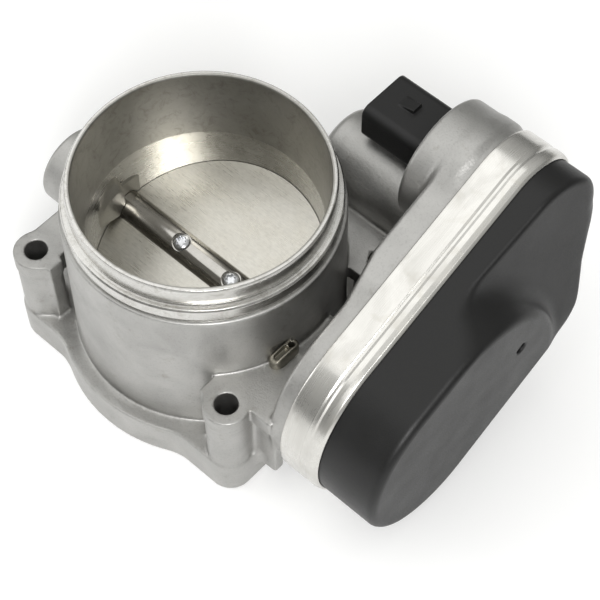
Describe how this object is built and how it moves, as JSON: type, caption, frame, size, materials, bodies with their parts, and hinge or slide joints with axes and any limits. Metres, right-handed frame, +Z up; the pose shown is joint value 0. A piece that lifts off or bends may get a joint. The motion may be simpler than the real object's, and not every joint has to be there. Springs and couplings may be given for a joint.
{
  "type": "throttle body",
  "caption": "Cast electronic throttle body: flanged bore with hose collar, tilting plate on a cross shaft, and a sealed gear case with motor, crimped cover and plug socket.",
  "frame": {"origin": "centre of the bore at the manifold face of the flange", "axes": "+Z up the bore axis to the air inlet, +X along the throttle shaft to the gear case, +Y towards the drive motor"},
  "size_m": [0.1674, 0.1401, 0.0949],
  "materials": {
    "cast_aluminium": "satin sandblasted casting with turned collar",
    "ground_steel": "ground",
    "brushed_plate": "brushed sheet",
    "zinc_steel": "zinc plated",
    "bronze": "sintered",
    "black_rubber": "matt",
    "seal_rubber": "matt",
    "black_gear_plastic": "glass filled",
    "natural_gear_plastic": "natural moulding",
    "spring_steel": "oiled wire",
    "magnet": "sintered dark",
    "armature": "wound copper on laminated core",
    "brass": "machined",
    "contact_metal": "plated",
    "black_plastic": "fine textured",
    "ring_sheet": "bright rolled sheet",
    "board": "lacquered",
    "vent_membrane": "matt"
  },
  "bodies": {
    "frame": {"housing": "cast_aluminium", "shaft_bushes": "bronze", "shaft_seals": "black_rubber", "bearing_plug": "zinc_steel", "return_spring": "spring_steel", "idler_pin": "ground_steel", "motor_can": "zinc_steel", "motor_magnets": "magnet", "motor_endplate": "black_gear_plastic", "motor_brushes": "magnet", "motor_screws": "zinc_steel", "motor_washer": "spring_steel", "motor_leads": "contact_metal", "connector_shell": "black_plastic", "connector_pins": "contact_metal", "connector_seal": "seal_rubber", "clamp_ring": "ring_sheet", "cover": "black_plastic", "cover_gasket": "black_rubber", "sensor_board": "board", "vent_plug": "vent_membrane"},
    "throttle": {"throttle_shaft": "ground_steel", "throttle_plate": "brushed_plate", "plate_screws": "zinc_steel", "sector_gear": "black_gear_plastic", "sector_nut": "zinc_steel", "sensor_magnet": "magnet"},
    "idler": {"idler_gear": "natural_gear_plastic"},
    "armature": {"motor_armature": "armature", "motor_pinion": "brass"}
  },
  "joints": [
    {"name": "throttle_turn", "type": "hinge", "parent": "frame", "child": "throttle", "pos_m": [0, 0, 0.0361], "axis": [1, 0, 0], "range_deg": [0, 78], "stiffness_Nm_per_rad": 0.12, "springref_deg": -34.38},
    {"name": "idler_turn", "type": "hinge", "parent": "frame", "child": "idler", "pos_m": [0.07, 0.03202, 0.05256], "axis": [1, 0, 0], "range_deg": [-325, 2]},
    {"name": "motor_turn", "type": "hinge", "parent": "frame", "child": "armature", "pos_m": [0.03, 0.061, 0.049], "axis": [1, 0, 0], "range_deg": [-5, 1495]}
  ],
  "couplings": [
    {"joint": "idler_turn", "follows": "throttle_turn", "ratio": -4.1429},
    {"joint": "motor_turn", "follows": "throttle_turn", "ratio": 19.121}
  ]
}
